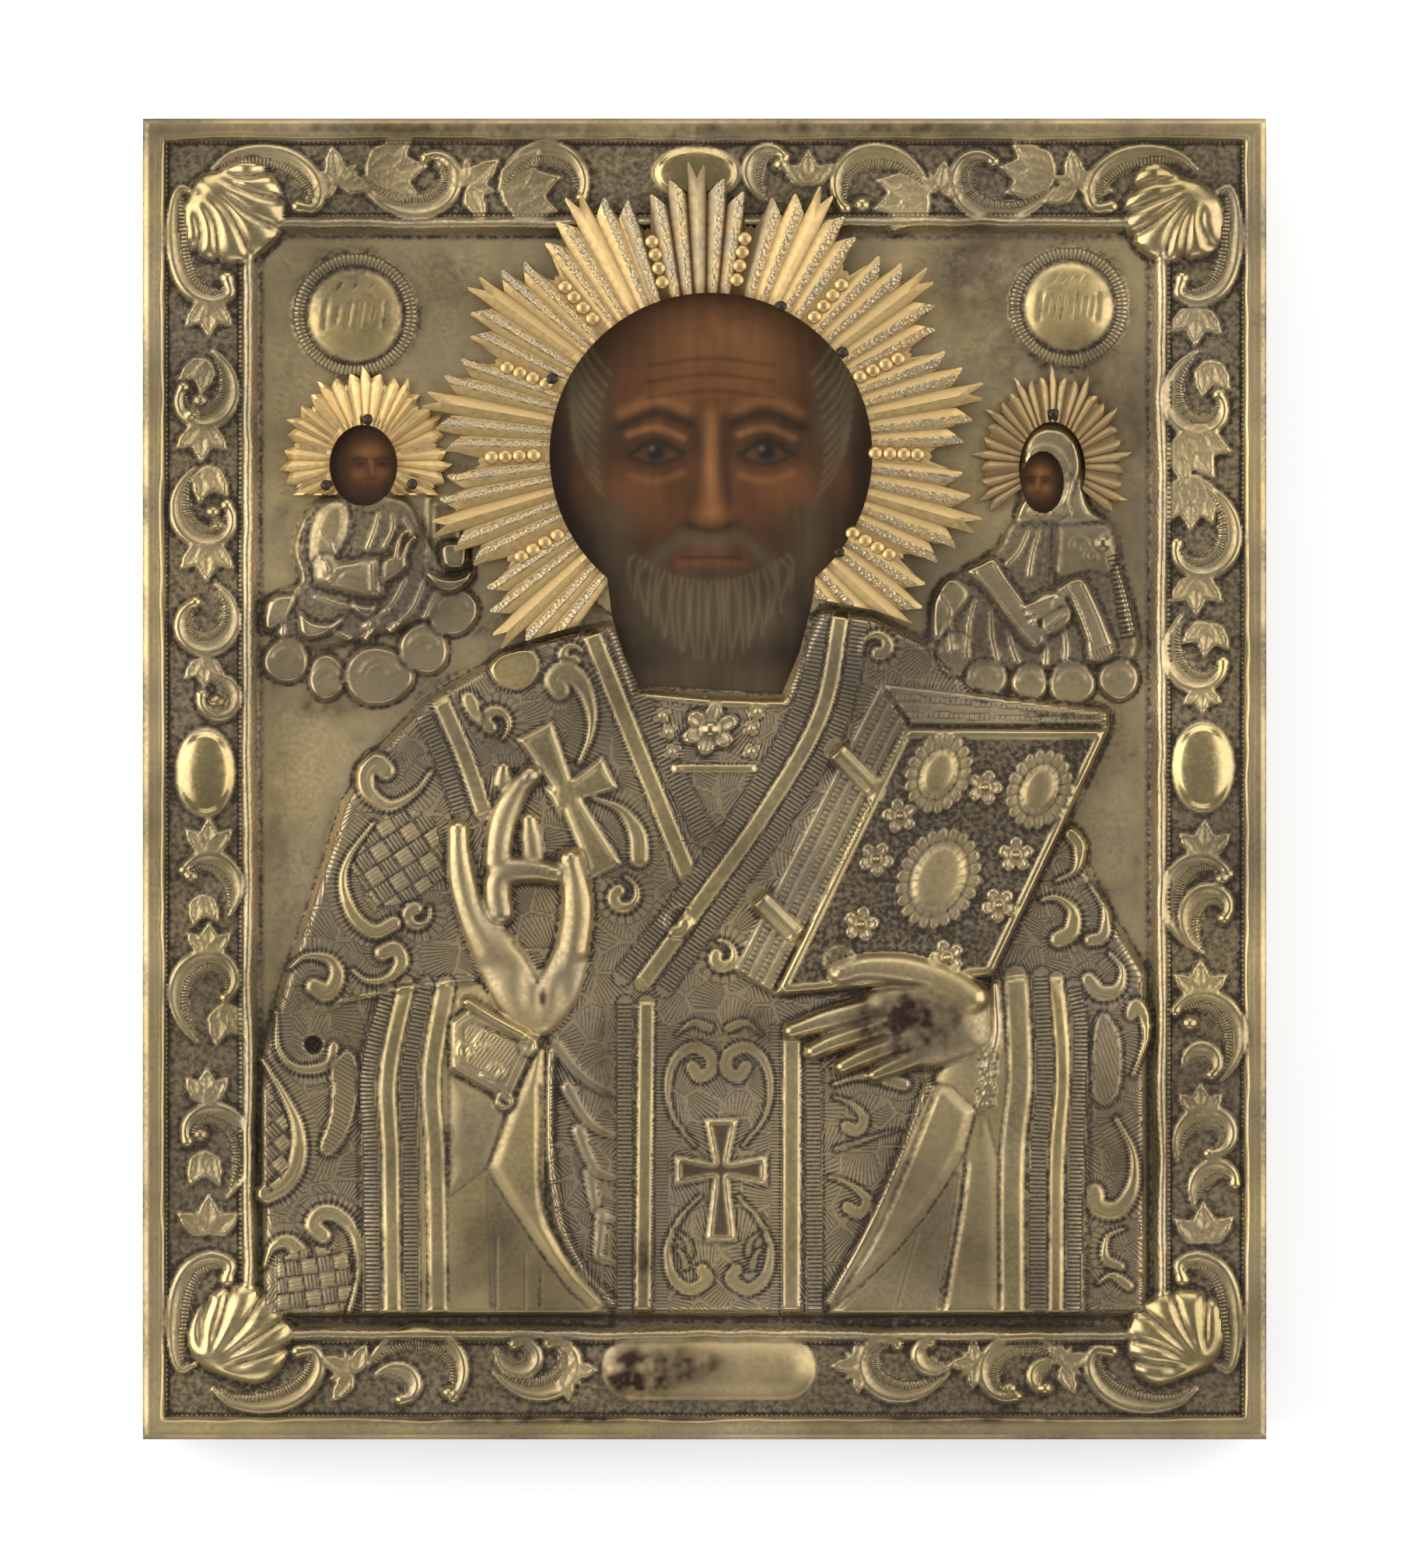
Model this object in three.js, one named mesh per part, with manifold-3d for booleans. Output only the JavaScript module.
// Icon panel: a painted wooden board under a chased silver-gilt cover, with three separate ray haloes.
// Millimetres, +Z up. The panel lies on its back: +X is the picture's right, +Y its top,
// and z = 0 is the board's back.
import * as THREE from 'three';
import { mergeVertices } from 'three/addons/utils/BufferGeometryUtils.js';
import Module from 'manifold-3d';

const wasm = await Module();
wasm.setup();

// Driving dimensions
const WIDTH = 265;
const HEIGHT = 311.5;
const BOARD_THICK = 26;
const FIT = 0.3;
const SHEET = 0.7;
const FLANGE = 0.6;
const FLANGE_FOOT = 7;
const BORDER = 27.5;

// Heights above the board's back
const UNDERSIDE = BOARD_THICK + FIT;
const FIELD = UNDERSIDE + SHEET;
const GROUND = FIELD + 1.2;
const MOULDING = FIELD + 3.2;
const FIGURE = FIELD + 1.8;
const ROBE = FIELD + 3;
const SLEEVE = ROBE + 1.2;
const BOOK_PAGES = ROBE + 1.2;
const BOOK_COVER = ROBE + 2.4;
const PALM = FIELD + 7;
const HALO_FOOT = MOULDING + FIT;
const HALO_VALLEY = HALO_FOOT + 0.6;
const HALO_RIDGE = HALO_FOOT + 1.8;
const SMALL_HALO_FOOT = FIELD + 1.3;
const SMALL_HALO_VALLEY = SMALL_HALO_FOOT + 0.5;
const SMALL_HALO_RIDGE = SMALL_HALO_FOOT + 1.4;
const ABOVE_ALL = 60;

// Windows and haloes
const WINDOW = { x: 1.5, y: 76.5, rx: 38, ry: 38, sides: 32, clear: 0.4 };
const NECK = [
  [-30, 60], [-23, 51], [-21.5, 38.5], [-19, 30], [-15.5, 22.5],
  [18, 20.5], [22, 30], [25, 41.5], [26, 50.5], [33, 60],
];
const COLLAR_REACH = 6.5;
const MAIN_HALO = {
  x: 0, y: 78, squeeze: 1, gap: 53, notch: 57.5,
  clusters: [-42, -15.9, 11.5, 37.4, 64.6, 91.7, 117.6, 144.4, 170.2, 196.6, 223],
  tips: [61.5, 64, 68.5, 64, 61.5], step: 4.6,
};
const LEFT_HALO = {
  x: -80, y: 75, squeeze: 0.92, gap: 15, notch: 17, floor: 67,
  clusters: arc(-35, 215, 9), tips: [20, 23.5, 20], step: 8.2,
};
const RIGHT_HALO = {
  x: 82, y: 74, squeeze: 0.8, gap: 17, notch: 18.5, floor: 63,
  clusters: arc(-22, 200, 9), tips: [20.5, 25, 20.5], step: 7.6,
};
// The part of the halo plate and its seat that the shoulders hide
const SHOULDERS = [
  [-90, -60], [-90, 18], [-60, 25.5], [-40, 33.2], [-21.5, 38.8],
  [27.5, 42.2], [40, 39.8], [52, 35.5], [90, 18], [90, -60],
];
const PINS = {
  main: [[18, 111.3], [32.5, 100.5], [-36, 94.2], [31.7, 53.4]],
  left: [[-79.5, 84.8], [-89.3, 69.3], [-69, 69.5]],
  right: [[82.3, 86]],
};
const PIN = { shank: 0.55, hole: 1.25, neck: 0.4, head: 1.6, rise: 0.7, bite: 5, sides: 6 };

// Border scrolls: eye x, y, first radius, last radius, first angle, turn, how fast the tail closes in
const SCROLLS = [
  [-119.5, 89.5, 12, 4.6, 73, -290, 2], [-116, 61.5, 12.5, 4.5, 112, 290, 2],
  [-118.5, 36.5, 10, 5.5, 70, -320, 2], [-115, 19, 5.6, 3.8, 120, -310, 1],
  [-118, -24, 10, 5.4, -53, 205, 1.5], [-115.5, -47.5, 15, 4.8, 253, -310, 2.6],
  [-118, -83.5, 16, 4.6, -70, 275, 2.4],
  [118, 87.5, 13.5, 4.6, 98, 305, 2.2], [116, 54, 16, 4.9, 83, -280, 2.6],
  [118, 27, 12.7, 4.4, 116, 250, 2], [118, -24.5, 16, 5.9, 262, -240, 2.6],
  [120.5, -30.5, 10.9, 3.2, 254, -300, 2], [116.5, -57.5, 14.6, 6.2, -68, 220, 2],
  [117.5, -67, 4.6, 3.6, 190, -240, 1], [120, -84.3, 10.2, 4.2, 214, -315, 2],
  [122, -95, 8.8, 3.3, 222, -230, 2],
  [-63.5, 143, 19, 4.3, 180, 300, 3.2], [-36, 140, 12.5, 7.6, 185, -205, 1.5],
  [16, 145, 8.6, 3.3, 260, -225, 1.5], [37, 139, 16, 5.8, 2, 225, 2],
  [64.5, 143, 18.5, 4.5, -11, -310, 3],
  [-65, -141, 14.7, 7.6, 170, -210, 1.5], [-71.5, -144, 7, 2.5, 150, -240, 1.5],
  [-43, -136, 6.5, 3.3, 165, 320, 2], [-35, -136.5, 15.2, 3.8, 193, 285, 2.8],
  [42.5, -136.5, 15.5, 4.3, -14, -300, 2.8], [53, -135, 6, 2.1, -38, -240, 1.5],
  [71.5, -141.5, 14.7, 4.6, 14, 280, 2.2], [80.5, -141.5, 4.4, 2.6, 60, 215, 1],
];
const SCROLL = { steps: 6, halfWidth: 1.7, rise: 1.9, taper: 0.45 };

// Border leaves: root x, y, direction, length, spread of the lobes, number of lobes
const LEAVES = [
  [-117, 112.5, 270, 7, 80, 3], [-118.5, 83, 268, 7, 90, 3], [-117.5, 55.5, 270, 7.5, 85, 3],
  [-118, 28.5, 270, 6, 80, 3], [-117, -17.5, 90, 7, 80, 3], [-117, -41.5, 90, 6.5, 80, 3],
  [-117.5, -76.5, 90, 7, 70, 3], [-117, -107.5, 90, 8, 100, 3], [-117, 99, 235, 7.5, 40, 2],
  [-118, 74, 285, 8, 40, 2], [-119, -27, 280, 7, 40, 2], [-114, -53, 285, 9, 40, 2],
  [-118, -87.5, 270, 8, 40, 2],
  [116, 111, 268, 7.5, 85, 3], [112.5, 82, 305, 11, 60, 3], [116, 47.5, 270, 7.5, 85, 3],
  [117.5, 21, 270, 5, 100, 3], [118, -18, 90, 7, 90, 3], [117, -51, 90, 7, 95, 3],
  [117, -79.5, 90, 6.5, 80, 3], [118, -109.5, 92, 8, 90, 3], [115, 72, 268, 11, 45, 3],
  [118.5, 99, 285, 8, 40, 2], [119, 37, 262, 7, 80, 3],
  [-86.5, 140.5, 100, 7.5, 190, 3], [-80, 142.5, 8, 12, 55, 3], [-56, 140, 40, 8, 190, 3],
  [-48, 137.5, 18, 12, 60, 3], [24.5, 140, 90, 7, 90, 3], [53, 138, 195, 11, 55, 3],
  [55.5, 139, 80, 6, 150, 3], [83, 142.5, 172, 11, 50, 3], [88, 139.5, 100, 7.5, 190, 3],
  [-83, -140.5, 150, 7, 150, 3], [-33, -139.5, 0, 6.5, 150, 3], [37, -138.5, 180, 6, 150, 3],
  [64, -138, 180, 5.5, 150, 3], [84, -138.5, 20, 6.5, 150, 3],
];
const LEAF = { rise: 1.5, waist: 0.55, flare: 20, crest: 0.62 };

// Corner ornament, measured from the panel's middle and mirrored into all four corners
const SHELL = {
  x: 119.5, y: 140.5, reach: 22.6, half: 74, flutes: 6, rise: 3.6, flute: 0.55, pinch: 0.75, droop: 0.8,
  rows: [[0.12, 0.5], [0.62, 1], [1, 0.3]], valleyReach: 0.94,
};
const CORNER_SIDE = [
  [120, 138], [124, 139.5], [126.2, 133], [125.6, 122], [122, 115], [116.5, 112.5], [112, 114.3], [112, 118],
];
const CORNER_TOP = [
  [116, 144], [112, 147.6], [105.5, 149], [98.5, 147.9], [93, 144], [90.6, 139], [92, 134.8], [95.8, 134.6],
];
const CORNER_CURL = { steps: 7, halfWidth: 1.9, taper: 0.6 };

// Large figure
const ROBE_OUTLINE = [
  [-104.9, -127], [104.9, -127], [104.9, -46], [95, -29.5], [86, -10], [84, 8], [64, 22], [52, 33],
  [40, 39], [27, 41], [22, 30], [18, 19.5], [-15.5, 21.5], [-21, 37.5], [-40.5, 33], [-55, 25.5],
  [-66, 19], [-77.5, 7], [-85.5, -5], [-92, -25], [-100, -48], [-104.9, -65],
];
const LEFT_SLEEVE = [
  [-81.5, -126], [-22, -126], [-36, -99], [-37, -63], [-53, -50], [-72, -51], [-79, -60], [-82, -90],
];
const RIGHT_SLEEVE = [
  [29, -126], [89, -126], [91, -90], [90, -60], [84, -48.5], [68, -48], [55, -70], [42, -100],
];
const LEFT_CUFF = [[-60, -55], [-54, -53.5], [-38.5, -60.7], [-45.7, -76.5], [-60, -68.6]];
const PANEL = [[-10.8, -126], [17.8, -126], [17.8, -54], [-10.8, -54]];
const PANEL_TOP = ROBE + 0.5;
const BROOCH = { x: 1.3, y: 11.7, rx: 6.5, ry: 5.6, sides: 8, steps: [[0.6, ROBE + 0.9], [0.3, ROBE + 2]] };

// Flat bands of the robe: points along the middle, half width, the surface under the band, rise
const BANDS = [
  { path: [[-26.2, 33], [-15.5, 6], [-4.5, -20]], half: 2.3, ground: ROBE, rise: 1.1 },
  { path: [[-20, 35], [-11, 9], [-0.5, -13]], half: 2.4, ground: ROBE, rise: 0.6 },
  { path: [[30.5, 38], [25.5, 17], [13, -6], [-2, -28], [-17, -46]], half: 5.6, ground: ROBE, rise: 0.9 },
  { path: [[35, 38], [29.5, 15], [17, -8], [1, -31], [-11, -48.5]], half: 1.8, ground: ROBE, rise: 1.5 },
  { path: [[-61.5, 19], [-56, 5], [-51.5, -7]], half: 2.2, ground: ROBE, rise: 1.1 },
  { path: [[-15, 21], [2, 18.4], [19, 19]], half: 1, ground: ROBE, rise: 0.8 },
  { path: [[-18.8, -53], [-18.8, -126]], half: 2, ground: ROBE, rise: 0.6 },
  { path: [[-13.7, -53], [-14.6, -126]], half: 2.1, ground: ROBE, rise: 1.2 },
  { path: [[20.6, -60], [20.4, -126]], half: 2.4, ground: ROBE, rise: 1.2 },
  { path: [[25.6, -63], [26, -126]], half: 2.1, ground: ROBE, rise: 0.6 },
  { path: [[-70.5, -52.5], [-75, -75], [-73.8, -126]], half: 2.1, ground: SLEEVE, rise: 1.2 },
  { path: [[-66, -53], [-69.8, -75], [-69, -123]], half: 1.9, ground: SLEEVE, rise: 0.6 },
  { path: [[-61.5, -52], [-64.6, -75], [-62.3, -126]], half: 2.3, ground: SLEEVE, rise: 1.2 },
  { path: [[74, -50], [74.3, -70], [72.5, -90], [72.5, -125]], half: 2.8, ground: SLEEVE, rise: 1.4 },
  { path: [[80, -50], [80, -70], [78.5, -90], [78.2, -125]], half: 2, ground: SLEEVE, rise: 0.7 },
  { path: [[84, -49], [84, -70], [82.7, -90], [82.6, -125]], half: 1.9, ground: SLEEVE, rise: 1.4 },
];
// Rounded folds of the sleeves, cuffs and cloth
const FOLDS = [
  { path: [[-37, -64], [-37, -99], [-31, -114], [-22.5, -123]], half: 2.2, ground: ROBE, rise: 2.8 },
  { path: [[-51, -91], [-44, -104], [-36, -115], [-25, -124]], half: 2, ground: SLEEVE, rise: 1.2 },
  { path: [[-48, -77], [-53, -88], [-59.5, -97]], half: 2.6, ground: SLEEVE, rise: 1 },
  { path: [[-50, -98], [-49.5, -125]], half: 3.6, ground: SLEEVE, rise: 0.7 },
  { path: [[53.5, -72], [46, -92], [38, -110], [30, -123]], half: 2.6, ground: ROBE, rise: 2.8 },
  { path: [[61, -78], [52, -100], [38, -119]], half: 2.4, ground: SLEEVE, rise: 1.1 },
  { path: [[65, -80], [61, -100], [57.5, -124]], half: 2, ground: SLEEVE, rise: 1.2 },
  { path: [[50, -107], [45, -124]], half: 2.6, ground: SLEEVE, rise: 0.7 },
  { path: [[69.5, -50], [69.5, -64], [66.5, -80]], half: 1.7, ground: SLEEVE, rise: 1.8 },
  { path: [[-86, -52], [-72, -50.5], [-55, -48.5]], half: 1.6, ground: ROBE, rise: 2 },
];
const FOLD_TAPER = 0.8;

// Hands: each finger is a path, its half width and its top
const BLESSING_PALM = [
  [-57, -31], [-49.5, -52], [-45.5, -58.5], [-39.5, -60.3], [-34.4, -57.2], [-29.8, -48.6],
  [-27, -39], [-34, -33.5], [-46, -33.5],
];
const HOLDING_PALM = [
  [38, -50], [47, -45.5], [66.5, -50.5], [66.5, -62], [58, -66.5], [45, -69], [36, -66], [30, -60],
];
const FINGERS = [
  { path: [[-58.5, -10], [-58.3, -20], [-55.5, -32], [-49, -43]], half: 2.7, top: FIELD + 7.6 },
  { path: [[-41, 0.5], [-47, -7], [-48.6, -18]], half: 2.1, top: FIELD + 6.8 },
  { path: [[-33, -22.7], [-45.5, -22], [-49.3, -27], [-46.5, -34]], half: 2.4, top: FIELD + 8.2 },
  { path: [[-31.8, -17.5], [-30.2, -26], [-31.5, -36], [-36.5, -47]], half: 2.7, top: FIELD + 7.8 },
  { path: [[29.6, -46], [38, -45.2], [49, -47.5]], half: 2.8, top: FIELD + 8 },
  { path: [[19.8, -58.6], [30, -57.8], [44, -56]], half: 2.1, top: FIELD + 7.4 },
  { path: [[27.5, -62.7], [36, -62.3], [46, -60.5]], half: 2.1, top: FIELD + 7 },
  { path: [[32, -66.3], [40, -67.3], [48, -65.5]], half: 2.1, top: FIELD + 6.6 },
];
const FINGER_STEPS = 4;

// Book
const BOOK = {
  cover: [[48.7, 12.4], [15.8, -51.3], [66, -47], [95.9, 12.4]],
  pages: [[41.3, 22.9], [6, -45], [16, -51], [60, -40], [94.6, 17]],
  rim: 1.4, rimRise: 0.7, tilt: -25, sides: 8, collar: 3.2, collarRise: 0.7, gemRise: 1.5,
  gems: [[55.1, 1.2, 4.2, 6.2], [78.8, -2.5, 4.2, 6.2], [55.1, -23.4, 6.2, 8.9]],
  flowers: [[66, -2], [46, -8.7], [40.4, -18.8], [73.3, -17.9], [69.3, -29.7], [36.8, -34.2], [57, -41.5]],
  flower: 3.4, petals: 5, flowerRise: 1,
  clasps: [[[31, 6.5], [39.5, -2]], [[12.6, -28], [21.6, -37]]], clasp: 2.6, claspRise: 2.4,
};

// Crosses: middle, reach up, down and sideways, narrow and wide half widths, turn
const CROSSES = [
  { x: 3.9, y: -92.3, up: 12.2, down: 16.7, side: 10.8, narrow: 1.9, wide: 4, turn: 0, ground: PANEL_TOP },
  { x: -33.5, y: -3.2, up: 17, down: 20.5, side: 12, narrow: 2.7, wide: 4.7, turn: 27, ground: ROBE },
];
const CROSS = { rise: 1.2, edge: 0.6, inner: 0.9 };

// Small figures on clouds
const LEFT_FIGURE = [
  [-104, 38], [-97, 53], [-93.6, 61.4], [-89, 66], [-71.5, 66], [-66, 58], [-60, 46], [-72, 37],
  [-90, 32], [-100, 33],
];
const RIGHT_FIGURE = [
  [54, 37], [69.5, 55], [75, 61.5], [94.5, 61.5], [98.8, 49], [102.5, 31], [92, 27], [57, 27],
];
const FIGURE_FOLDS = [
  { path: [[-94, 58], [-92, 48], [-85, 47.5], [-76, 51], [-69, 56]], half: 3.2, rise: 1.6 },
  { path: [[-95, 38.5], [-90, 36], [-84, 39]], half: 2.2, rise: 1 },
  { path: [[-98, 50], [-101.5, 43]], half: 1.8, rise: 1 },
  { path: [[62.5, 50.5], [70, 42], [78, 31.5]], half: 3, rise: 1.4 },
  { path: [[86.5, 46.5], [91, 38], [94.2, 28.5]], half: 3.4, rise: 1.4 },
  { path: [[76, 39], [84, 42]], half: 2.4, rise: 1.8 },
  { path: [[57.5, 37.5], [62, 43]], half: 2.4, rise: 1 },
];
const LEFT_BOOK = [[-65, 47], [-55.5, 48.5], [-55.5, 66.5], [-64.5, 67]];
const LEFT_BOOK_RISE = 2.6;
const HOOD = [
  [74.9, 62], [89, 62], [89, 74], [87.5, 79.5], [84.5, 82.8], [82, 83.4], [79.4, 82.8], [76.4, 79.5],
  [74.9, 74],
];
const HOOD_RISE = 2.4;
const LEFT_FACE = { x: -80.5, y: 74, rx: 8, ry: 9.5 };
const RIGHT_FACE = { x: 79.8, y: 70, rx: 5, ry: 7.2 };
const HOOD_ARCH = { x: 82, y: 73, rx: 7.8, ry: 11.2 };
const FACE_SIDES = 12;
const CLOUDS = [
  [-99, 28.3, 4.7, 4.7], [-89, 24, 4, 5], [-77.3, 24.3, 7.5, 6.2], [-66.5, 31, 5.5, 5.5], [-60, 40, 5.5, 5.5],
  [57.8, 33, 4, 4.8], [66.9, 23, 4.4, 4.4], [76.7, 22.8, 4, 4], [86.5, 22.6, 5, 4.9], [97.6, 23.3, 4.2, 4.4],
];
const CLOUD = { rise: 2.6, sides: 6 };

// Bosses of the border: middle, half width, half height, rise
const BOSSES = [[-117.8, 1.5, 7, 10.7, 2.6], [117.4, 2.8, 7.8, 11, 2.6], [-2, 143, 11, 6.5, 1.7]];
const BOSS_SIDES = 12;
const MEDALLIONS = [[-82.5, 109.5], [86, 111.5]];
const MEDALLION = { radius: 14.4, rimTop: 0.95, groove: 12.4, floor: 0.5, boss: 11.8, rise: 2.4, sides: 12 };
const CARTOUCHE = { x: 1, y: -139, halfLength: 25.4, halfHeight: 7.7, rise: 1.9, sides: 7 };
const LOST_NAIL = { x: -92.3, y: -62.7, rx: 1.9, ry: 1.9 };
const LOST_NAIL_SIDES = 8;

// Sections of the ribbons, going across: share of the half width, share of the rise
const RIDGE = [[1, 0], [0.1, 1], [-1, 0]];
const FLAT_BAND = [[1, 0], [0.72, 1], [-0.72, 1], [-1, 0]];
const ROUNDED = [[1, 0], [0.5, 0.95], [-0.4, 1], [-1, 0]];
const FINGER = [[1, 0], [0.6, 0.88], [-0.5, 1], [-1, 0]];

function arc(first, last, count) {
  return Array.from({ length: count }, (_, i) => first + (last - first) * i / (count - 1));
}

function polar(x, y, radius, degrees) {
  const a = THREE.MathUtils.degToRad(degrees);
  return [x + radius * Math.cos(a), y + radius * Math.sin(a)];
}

function turnedBy(x, y, degrees, [u, v]) {
  const a = THREE.MathUtils.degToRad(degrees);
  return [x + u * Math.cos(a) - v * Math.sin(a), y + u * Math.sin(a) + v * Math.cos(a)];
}

function ellipse({ x, y, rx, ry }, sides, turn = 0) {
  return Array.from({ length: sides }, (_, i) => {
    const a = 2 * Math.PI * i / sides;
    return turnedBy(x, y, turn, [rx * Math.cos(a), ry * Math.sin(a)]);
  });
}

// A smooth path through a few points
function smooth(points, steps) {
  if (points.length < 3) return points;
  const curve = new THREE.SplineCurve(points.map(([x, y]) => new THREE.Vector2(x, y)));
  return curve.getSpacedPoints(steps).map((p) => [p.x, p.y]);
}

// A closed mesh becomes a solid, with its faces turned outwards
function solid(points, triangles) {
  const vectors = points.map((p) => new THREE.Vector3(...p));
  const across = new THREE.Vector3();
  let volume = 0;
  for (const [a, b, c] of triangles) {
    volume += across.crossVectors(vectors[b], vectors[c]).dot(vectors[a]);
  }
  const faces = volume < 0 ? triangles.map(([a, b, c]) => [a, c, b]) : triangles;
  const geometry = new THREE.BufferGeometry();
  geometry.setAttribute('position', new THREE.Float32BufferAttribute(points.flat(), 3));
  geometry.setIndex(faces.flat());
  return fromGeometry(geometry);
}

function fromGeometry(source) {
  const geometry = source.clone();
  geometry.deleteAttribute('normal');
  geometry.deleteAttribute('uv');
  const merged = mergeVertices(geometry, 1e-4);
  const mesh = new wasm.Mesh({
    numProp: 3,
    vertProperties: new Float32Array(merged.attributes.position.array),
    triVerts: new Uint32Array(merged.index.array),
  });
  return new wasm.Manifold(mesh);
}

// Two triangles between four corners of a grid
function quad(a, b, c, d) {
  return [[a, b, c], [a, c, d]];
}

// Rings of equal count joined by faces, the first and the last capped
function loft(rings, cap) {
  const n = rings[0].length;
  const last = (rings.length - 1) * n;
  const triangles = [];
  for (let i = 0; i + 1 < rings.length; i++) {
    for (let j = 0; j < n; j++) {
      const a = i * n + j;
      const b = i * n + (j + 1) % n;
      triangles.push(...quad(a, b, b + n, a + n));
    }
  }
  for (const [a, b, c] of cap) triangles.push([a, c, b], [last + a, last + b, last + c]);
  return solid(rings.flat(), triangles);
}

function fan(n) {
  return Array.from({ length: n - 2 }, (_, i) => [0, i + 1, i + 2]);
}

function triangulate(outline) {
  return THREE.ShapeUtils.triangulateShape(outline.map(([x, y]) => new THREE.Vector2(x, y)), []);
}

function counterClockwise(outline) {
  const area = THREE.ShapeUtils.area(outline.map(([x, y]) => new THREE.Vector2(x, y)));
  return area < 0 ? [...outline].reverse() : outline;
}

// The outline moved inwards, with mitred corners
function inset(outline, distance) {
  const n = outline.length;
  return outline.map(([x, y], i) => {
    const before = outline[(i + n - 1) % n];
    const after = outline[(i + 1) % n];
    const first = new THREE.Vector2(x - before[0], y - before[1]).normalize();
    const second = new THREE.Vector2(after[0] - x, after[1] - y).normalize();
    const normal = new THREE.Vector2(-first.y - second.y, first.x + second.x).normalize();
    const miter = Math.max(0.5, normal.dot(new THREE.Vector2(-first.y, first.x)));
    return [x + normal.x * distance / miter, y + normal.y * distance / miter];
  });
}

// A slab whose upper edge is worked in steps: each step is an inset and a height
function slab(outline, root, steps) {
  const base = counterClockwise(outline);
  const rings = [[0, root], ...steps].map(([d, z]) => inset(base, d).map(([x, y]) => [x, y, z]));
  return loft(rings, triangulate(base));
}

function raised(outline, root, top, edge) {
  return slab(outline, root, [[0, top - edge], [edge, top]]);
}

function prism(outline, low, high) {
  return slab(outline, low, [[0, high]]);
}

function through(outline) {
  return prism(outline, 0, ABOVE_ALL);
}

// A turned form on an ellipse: each step is a share of the radius and a height
function turned(outline, root, steps) {
  const x = outline.reduce((sum, p) => sum + p[0], 0) / outline.length;
  const y = outline.reduce((sum, p) => sum + p[1], 0) / outline.length;
  const ring = ([k, z]) => outline.map((p) => [x + (p[0] - x) * k, y + (p[1] - y) * k, z]);
  return loft([[1, root], ...steps].map(ring), fan(outline.length));
}

function dome(outline, ground, rise) {
  return turned(outline, ground, [[0.84, ground + rise * 0.6], [0.42, ground + rise]]);
}

// A ribbon of relief along a path on a flat ground
function ribbon(path, halfWidth, ground, rise, profile, taper = 1) {
  const stations = path.map(([x, y], i) => {
    const [x0, y0] = path[Math.max(i - 1, 0)];
    const [x1, y1] = path[Math.min(i + 1, path.length - 1)];
    const along = new THREE.Vector2(x1 - x0, y1 - y0).normalize();
    const share = 1 - (1 - taper) * (1 - i / (path.length - 1));
    const lift = rise * (1 + share) / 2;
    return profile.map(([u, v]) => {
      const side = u * halfWidth * share;
      return [x - along.y * side, y + along.x * side, ground + v * lift];
    });
  });
  return loft(stations, fan(profile.length));
}

// A curl of the border: the radius falls from its tail to its eye
function scroll([x, y, first, last, start, turn, hook]) {
  const path = arc(0, 1, SCROLL.steps + 1).map((t) => {
    const radius = last + (first - last) * (1 - t) ** hook;
    return polar(x, y, radius, start + turn * t);
  });
  return ribbon(path, SCROLL.halfWidth, GROUND, SCROLL.rise, RIDGE, SCROLL.taper);
}

// A leaf is a spray of pointed lobes, each with a raised middle
function leaf([x, y, direction, length, spread, count]) {
  return arc(-0.5, 0.5, count).map((k) => {
    const heading = direction + spread * k;
    const reach = length * (1 - 0.25 * Math.abs(k));
    const tip = polar(x, y, reach, heading);
    const left = polar(x, y, reach * LEAF.waist, heading + LEAF.flare);
    const right = polar(x, y, reach * LEAF.waist, heading - LEAF.flare);
    const foot = [[x, y], right, tip, left].map(([px, py]) => [px, py, GROUND]);
    const crest = [...polar(x, y, reach * LEAF.crest, heading), GROUND + LEAF.rise];
    const sides = [0, 1, 2, 3].map((i) => [i, (i + 1) % 4, 4]);
    return solid([...foot, crest], [[0, 2, 1], [0, 3, 2], ...sides]);
  });
}

// A scallop shell: ridges run from the hinge to a wavy rim
function shell(sx, sy) {
  const columns = SHELL.flutes * 2 + 1;
  const angles = arc(-SHELL.half, SHELL.half, columns);
  const cosine = (degrees) => Math.cos(THREE.MathUtils.degToRad(degrees));
  const top = SHELL.rows.map(([share, lift]) => angles.map((angle, k) => {
    const onRidge = k % 2 === 1;
    const wave = onRidge ? 1 : SHELL.valleyReach;
    const reach = SHELL.reach * cosine(angle * SHELL.pinch) * share * wave;
    const [x, y] = polar(SHELL.x, SHELL.y, reach, 225 + angle);
    const rise = SHELL.rise * lift * cosine(angle * SHELL.droop);
    return [sx * x, sy * y, GROUND + rise + (onRidge ? SHELL.flute : -SHELL.flute) * share];
  }));
  const low = [top.at(-1), top[0]].map((row) => row.map(([x, y]) => [x, y, FIELD]));
  const grid = [...top, ...low];
  const at = (i, k) => (i % grid.length) * columns + k;
  const triangles = [];
  for (let i = 0; i < grid.length; i++) {
    for (let k = 0; k + 1 < columns; k++) {
      triangles.push(...quad(at(i, k), at(i + 1, k), at(i + 1, k + 1), at(i, k + 1)));
    }
  }
  const end = columns - 1;
  for (let i = 1; i + 1 < grid.length; i++) {
    triangles.push([at(0, 0), at(i + 1, 0), at(i, 0)], [at(0, end), at(i, end), at(i + 1, end)]);
  }
  return solid(grid.flat(), triangles);
}

function corner(sx, sy) {
  const curls = [CORNER_SIDE, CORNER_TOP].map((points) => {
    const path = smooth(points.map(([x, y]) => [sx * x, sy * y]), CORNER_CURL.steps).reverse();
    return ribbon(path, CORNER_CURL.halfWidth, GROUND, SCROLL.rise, RIDGE, CORNER_CURL.taper);
  });
  return [shell(sx, sy), ...curls];
}

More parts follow.
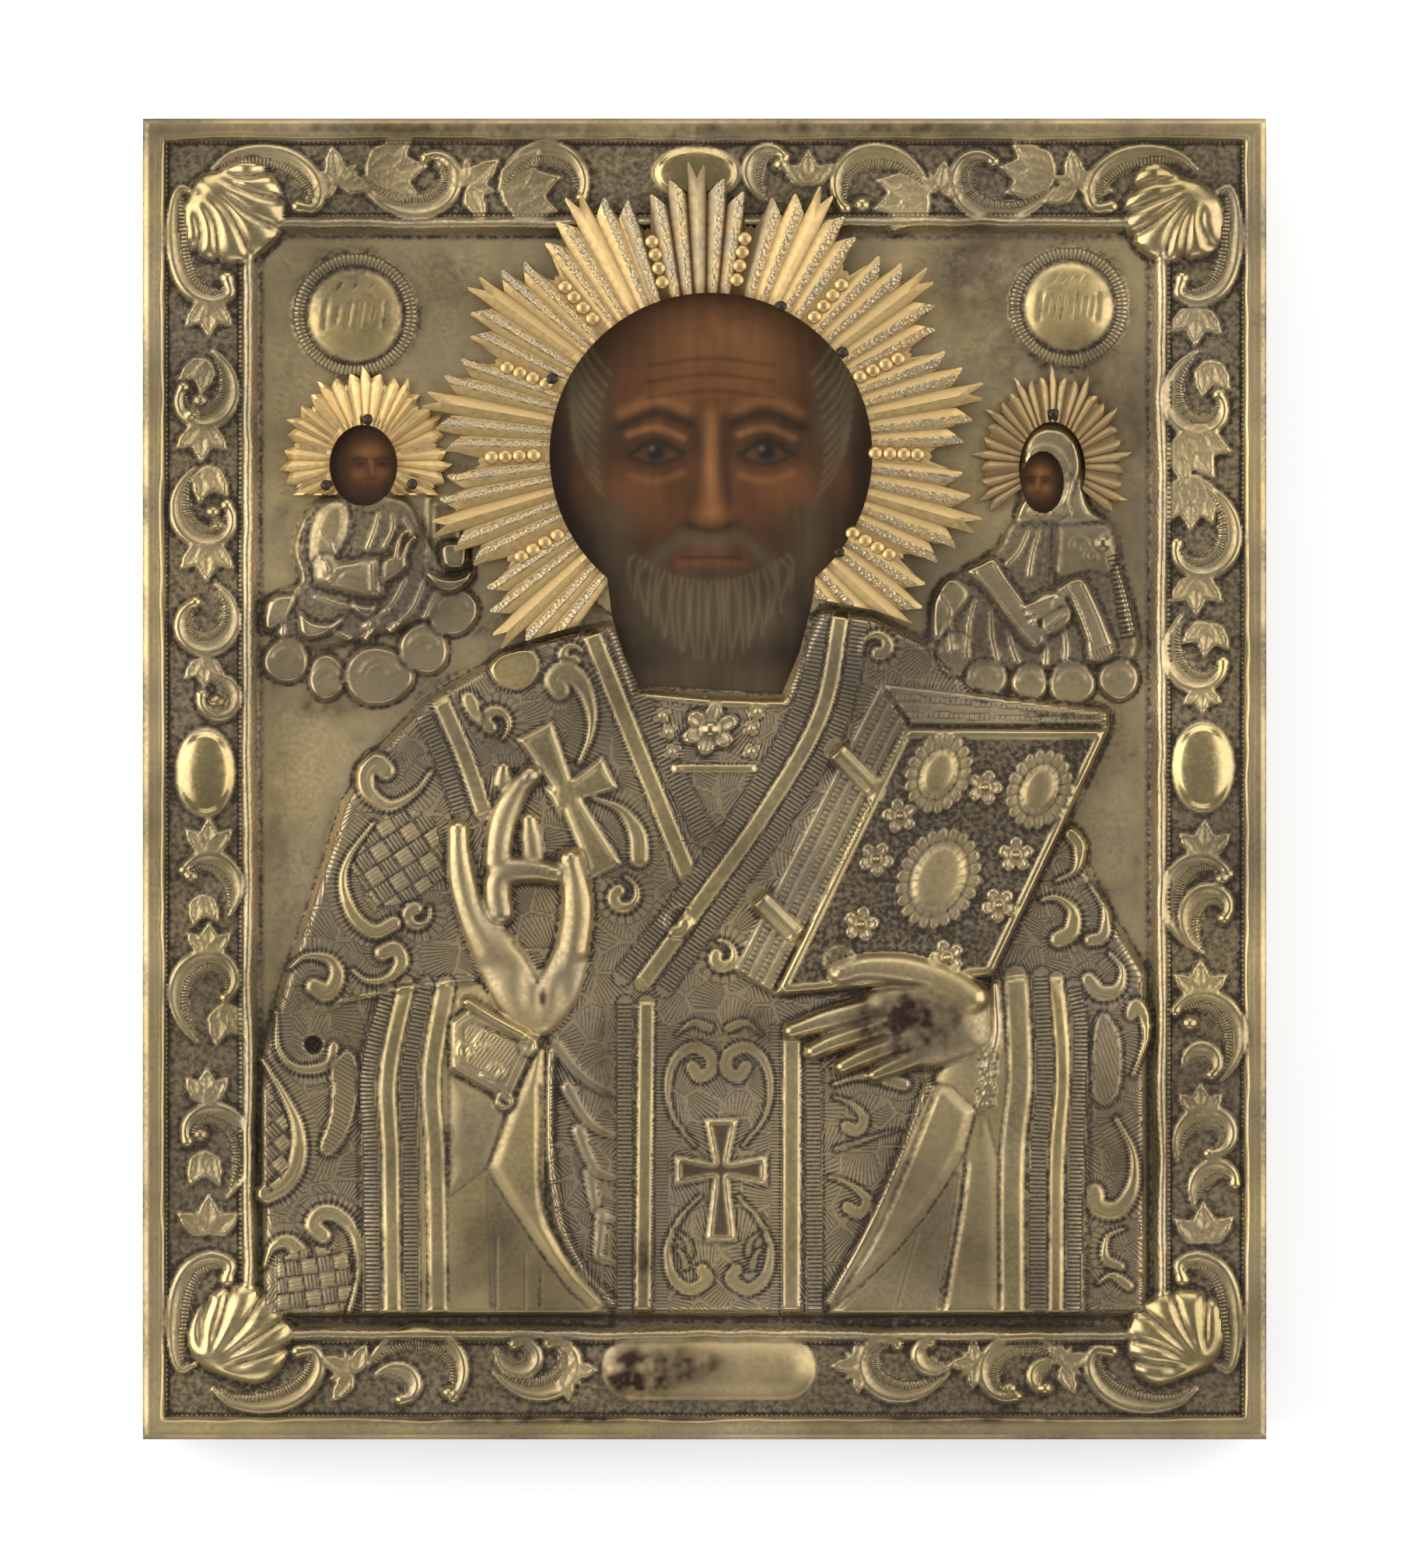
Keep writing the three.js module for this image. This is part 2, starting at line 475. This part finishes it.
// The rim of the sheet, from the foot of the flange over the lip, the band and the moulding to the field
function rim() {
  const lip = [
    [0, FLANGE_FOOT], [0, GROUND + 1.2], [0.7, GROUND + 2.1], [2.6, GROUND + 2.3],
    [3.8, GROUND + 1.5], [5, GROUND + 1.7], [5.4, GROUND],
  ];
  const moulding = [
    [BORDER - 4.2, GROUND], [BORDER - 3.5, MOULDING - 0.6], [BORDER - 2.3, MOULDING],
    [BORDER - 1.2, MOULDING - 0.6], [BORDER, FIELD],
  ];
  const back = [[BORDER + 2, FIELD], [BORDER + 2, UNDERSIDE], [FLANGE, UNDERSIDE], [FLANGE, FLANGE_FOOT]];
  const rings = [...lip, ...moulding, ...back].map(([d, z]) => {
    const x = WIDTH / 2 - d;
    const y = HEIGHT / 2 - d;
    return [[-x, -y, z], [x, -y, z], [x, y, z], [-x, y, z]];
  });
  const at = (i, j) => (i % rings.length) * 4 + j % 4;
  const triangles = rings.flatMap((_, i) => [0, 1, 2, 3].flatMap((j) => (
    quad(at(i, j), at(i, j + 1), at(i + 1, j + 1), at(i + 1, j)))));
  return solid(rings.flat(), triangles);
}

// A ray plate around an opening: ridged rays in clusters, each ray with its own tip
function rays(halo, opening, foot, valley, ridge) {
  const edge = [];
  const count = halo.tips.length;
  for (const middle of halo.clusters) {
    const start = middle - halo.step * count / 2;
    halo.tips.forEach((tip, i) => {
      edge.push([start + halo.step * i, i === 0 ? halo.gap : halo.notch, valley]);
      edge.push([start + halo.step * (i + 0.42), tip, ridge]);
    });
  }
  edge.push([halo.clusters.at(-1) + halo.step * count / 2, halo.gap, valley]);
  const outer = (z) => edge.map(([angle, tip, top]) => {
    const [x, y] = polar(0, 0, tip, angle);
    return [halo.x + x * halo.squeeze, halo.y + y, z ?? top];
  });
  const inner = (z) => edge.map(([angle, , top]) => {
    const [x, y] = polar(0, 0, 1, angle);
    return [opening.x + opening.rx * x, opening.y + opening.ry * y, z ?? top];
  });
  const grid = [inner(foot), outer(foot), outer(null), inner(null)];
  const n = edge.length;
  const triangles = [];
  for (let i = 0; i < grid.length; i++) {
    for (let k = 0; k + 1 < n; k++) {
      const a = i * n + k;
      const b = ((i + 1) % grid.length) * n + k;
      triangles.push(...quad(a, b, b + 1, a + 1));
    }
  }
  const last = n - 1;
  triangles.push([0, 2 * n, n], [0, 3 * n, 2 * n]);
  triangles.push([last, n + last, 2 * n + last], [last, 2 * n + last, 3 * n + last]);
  return solid(grid.flat(), triangles);
}

function pinHole([x, y], low, high) {
  return prism(ellipse({ x, y, rx: PIN.hole, ry: PIN.hole }, 4), low, high);
}

function cross({ x, y, up, down, side, narrow, wide, turn, ground }) {
  const inner = wide * CROSS.inner;
  const half = [[narrow, -narrow], [side, -inner], [side, inner], [narrow, narrow], [wide, up]];
  const mirrored = half.map(([u, v]) => [-u, v]).reverse();
  const outline = [[-inner, -down], [inner, -down], ...half, ...mirrored];
  return raised(outline.map((p) => turnedBy(x, y, turn, p)), ground, ground + CROSS.rise, CROSS.edge);
}

function bookParts() {
  const { cover, pages, tilt, sides, collar } = BOOK;
  const parts = [raised(pages, ROBE, BOOK_PAGES, 0.8), raised(cover, ROBE, BOOK_COVER, 0.7)];
  const middle = inset(counterClockwise(cover), BOOK.rim);
  middle.forEach((from, i) => {
    parts.push(ribbon([from, middle[(i + 1) % 4]], BOOK.rim, BOOK_COVER, BOOK.rimRise, FLAT_BAND));
  });
  for (const [x, y, rx, ry] of BOOK.gems) {
    const setting = ellipse({ x, y, rx: rx + collar, ry: ry + collar }, sides, tilt);
    parts.push(turned(setting, BOOK_COVER, [[0.8, BOOK_COVER + BOOK.collarRise]]));
    parts.push(dome(ellipse({ x, y, rx, ry }, sides, tilt), BOOK_COVER + BOOK.collarRise, BOOK.gemRise));
  }
  for (const [x, y] of BOOK.flowers) {
    const petals = ellipse({ x, y, rx: BOOK.flower, ry: BOOK.flower }, BOOK.petals);
    parts.push(turned(petals, BOOK_COVER, [[0.3, BOOK_COVER + BOOK.flowerRise]]));
  }
  for (const path of BOOK.clasps) parts.push(ribbon(path, BOOK.clasp, ROBE, BOOK.claspRise, FLAT_BAND));
  return parts;
}

function largeFigure() {
  const bands = BANDS.map(({ path, half, ground, rise }) => (
    ribbon(smooth(path, path.length - 1), half, ground, rise, FLAT_BAND)));
  const folds = FOLDS.map(({ path, half, ground, rise }) => (
    ribbon(smooth(path, path.length - 1), half, ground, rise, ROUNDED, FOLD_TAPER)));
  const fingers = FINGERS.map(({ path, half, top }) => (
    ribbon(smooth(path, FINGER_STEPS), half, ROBE, top - ROBE, FINGER, FOLD_TAPER)));
  return [
    slab(ROBE_OUTLINE, FIELD, [[0, FIELD + 0.8], [1, ROBE - 0.8], [2.6, ROBE]]),
    raised(LEFT_SLEEVE, ROBE, SLEEVE, 1), raised(RIGHT_SLEEVE, ROBE, SLEEVE, 1),
    raised(LEFT_CUFF, ROBE, SLEEVE + 1.4, 0.8), raised(PANEL, ROBE, PANEL_TOP, 0.4),
    slab(BLESSING_PALM, ROBE, [[0, PALM - 2.4], [1.4, PALM - 0.8], [3.6, PALM]]),
    slab(HOLDING_PALM, ROBE, [[0, PALM - 2.6], [1.4, PALM - 0.6], [4, PALM + 0.3]]),
    turned(ellipse(BROOCH, BROOCH.sides), ROBE, BROOCH.steps),
    ...bands, ...folds, ...fingers, ...bookParts(), ...CROSSES.map(cross),
  ];
}

function smallFigures() {
  const clouds = CLOUDS.map(([x, y, rx, ry]) => (
    dome(ellipse({ x, y, rx, ry }, CLOUD.sides), FIELD, CLOUD.rise)));
  const folds = FIGURE_FOLDS.map(({ path, half, rise }) => (
    ribbon(smooth(path, path.length - 1), half, FIGURE, rise, ROUNDED)));
  return [
    raised(LEFT_FIGURE, FIELD, FIGURE, 1.2), raised(RIGHT_FIGURE, FIELD, FIGURE, 1.2),
    raised(LEFT_BOOK, FIELD, FIELD + LEFT_BOOK_RISE, 0.6), raised(HOOD, FIELD, FIELD + HOOD_RISE, 1),
    ...folds, ...clouds,
  ];
}

function medallion([x, y]) {
  const { radius, rimTop, groove, floor, boss, rise, sides } = MEDALLION;
  const plate = ellipse({ x, y, rx: radius, ry: radius }, sides);
  return [
    turned(plate, FIELD, [[0.94, FIELD + rimTop], [groove / radius, FIELD + floor]]),
    dome(ellipse({ x, y, rx: boss, ry: boss }, sides), FIELD + floor, rise),
  ];
}

function cartouche() {
  const { x, y, halfLength, halfHeight, rise, sides } = CARTOUCHE;
  const straight = halfLength - halfHeight;
  const end = (side, from) => (
    arc(from, from + 180, sides).map((a) => polar(x + side * straight, y, halfHeight, a)));
  const steps = [[0, GROUND + 0.3], [0.9, GROUND + rise * 0.7], [2.6, GROUND + rise]];
  return slab([...end(1, -90), ...end(-1, 90)], GROUND, steps);
}

function makeCover() {
  const x = WIDTH / 2 - BORDER - 1;
  const y = HEIGHT / 2 - BORDER - 1;
  const sheet = prism([[-x, -y], [x, -y], [x, y], [-x, y]], UNDERSIDE, FIELD);
  const seat = { ...WINDOW, rx: WINDOW.rx + COLLAR_REACH, ry: WINDOW.ry + COLLAR_REACH };
  const collar = prism(ellipse(seat, WINDOW.sides), FIELD, MOULDING).subtract(through(SHOULDERS));
  const corners = [[-1, 1], [1, 1], [-1, -1], [1, -1]].flatMap(([sx, sy]) => corner(sx, sy));
  const bosses = BOSSES.map(([bx, by, rx, ry, rise]) => (
    dome(ellipse({ x: bx, y: by, rx, ry }, BOSS_SIDES), GROUND, rise)));
  const border = [...SCROLLS.map(scroll), ...LEAVES.flatMap(leaf), ...corners, ...bosses, cartouche()];
  const field = [...MEDALLIONS.flatMap(medallion), ...largeFigure(), ...smallFigures()];
  const sheetMetal = wasm.Manifold.union([rim(), sheet, collar, ...border, ...field]);
  const opening = { ...WINDOW, rx: WINDOW.rx + WINDOW.clear, ry: WINDOW.ry + WINDOW.clear };
  const cuts = [
    through(ellipse(opening, WINDOW.sides)), through(inset(counterClockwise(NECK), -WINDOW.clear)),
    through(ellipse(LEFT_FACE, FACE_SIDES)), through(ellipse(RIGHT_FACE, FACE_SIDES)),
    through(ellipse(LOST_NAIL, LOST_NAIL_SIDES)),
    ...Object.values(PINS).flat().map((place) => pinHole(place, 0, ABOVE_ALL)),
  ];
  return sheetMetal.subtract(wasm.Manifold.union(cuts));
}

function makeBoard() {
  const x = WIDTH / 2 - FLANGE - FIT;
  const y = HEIGHT / 2 - FLANGE - FIT;
  const board = prism([[-x, -y], [x, -y], [x, y], [-x, y]], 0, BOARD_THICK);
  const bottom = BOARD_THICK - PIN.bite - FIT;
  const holes = Object.values(PINS).flat().map((place) => pinHole(place, bottom, ABOVE_ALL));
  return board.subtract(wasm.Manifold.union(holes));
}

function makeMainHalo() {
  const plate = rays(MAIN_HALO, WINDOW, HALO_FOOT, HALO_VALLEY, HALO_RIDGE);
  const holes = PINS.main.map((place) => pinHole(place, 0, ABOVE_ALL));
  return plate.subtract(wasm.Manifold.union([through(NECK), through(SHOULDERS), ...holes]));
}

// A small ray plate stops at the figure's shoulders and leaves room for a hood where there is one
function makeSmallHalo(halo, opening, hood, places) {
  const plate = rays(halo, opening, SMALL_HALO_FOOT, SMALL_HALO_VALLEY, SMALL_HALO_RIDGE);
  const left = halo.x - halo.tips[1] * 2;
  const right = halo.x + halo.tips[1] * 2;
  const low = halo.floor - halo.tips[1] * 2;
  const below = through([[left, low], [right, low], [right, halo.floor], [left, halo.floor]]);
  const holes = places.map((place) => pinHole(place, 0, ABOVE_ALL));
  return plate.subtract(wasm.Manifold.union([...hood.map(through), below, ...holes]));
}

function makePin([x, y], top) {
  const seat = top + FIT;
  const shank = PIN.shank / PIN.head;
  const head = ellipse({ x, y, rx: PIN.head, ry: PIN.head }, PIN.sides);
  const low = BOARD_THICK - PIN.bite;
  const steps = [[shank, low], [shank, seat - PIN.neck], [1, seat], [0.6, seat + PIN.rise]];
  const rings = steps.map(([k, z]) => head.map((p) => [x + (p[0] - x) * k, y + (p[1] - y) * k, z]));
  return loft(rings, fan(PIN.sides));
}

function finish(colour, roughness, metalness) {
  return new THREE.MeshStandardMaterial({ color: colour, roughness, metalness });
}

function meshOf(name, body, material) {
  const { vertProperties, triVerts } = body.getMesh();
  const geometry = new THREE.BufferGeometry();
  geometry.setAttribute('position', new THREE.BufferAttribute(new Float32Array(vertProperties), 3));
  geometry.setIndex(new THREE.BufferAttribute(new Uint32Array(triVerts), 1));
  geometry.computeVertexNormals();
  const mesh = new THREE.Mesh(geometry, material);
  mesh.name = name;
  return mesh;
}

const aroundHood = inset(counterClockwise(HOOD), -FIT * 1.5);
const leftHalo = makeSmallHalo(LEFT_HALO, LEFT_FACE, [], PINS.left);
const rightHalo = makeSmallHalo(RIGHT_HALO, HOOD_ARCH, [aroundHood], PINS.right);

const icon = new THREE.Group();
icon.add(meshOf('icon_board', makeBoard(), finish(0x6b4a2c, 0.75, 0)));
icon.add(meshOf('cover', makeCover(), finish(0x968c64, 0.35, 1)));
icon.add(meshOf('main_halo', makeMainHalo(), finish(0xcda55a, 0.3, 1)));
icon.add(meshOf('left_halo', leftHalo, finish(0xcda55a, 0.3, 1)));
icon.add(meshOf('right_halo', rightHalo, finish(0xb99150, 0.4, 1)));
const pinSeats = { main: HALO_RIDGE, left: SMALL_HALO_RIDGE, right: SMALL_HALO_RIDGE };
for (const [halo, places] of Object.entries(PINS)) {
  places.forEach((place, i) => {
    icon.add(meshOf(`pin_${halo}_${i + 1}`, makePin(place, pinSeats[halo]), finish(0x9a9076, 0.4, 1)));
  });
}

export default icon;
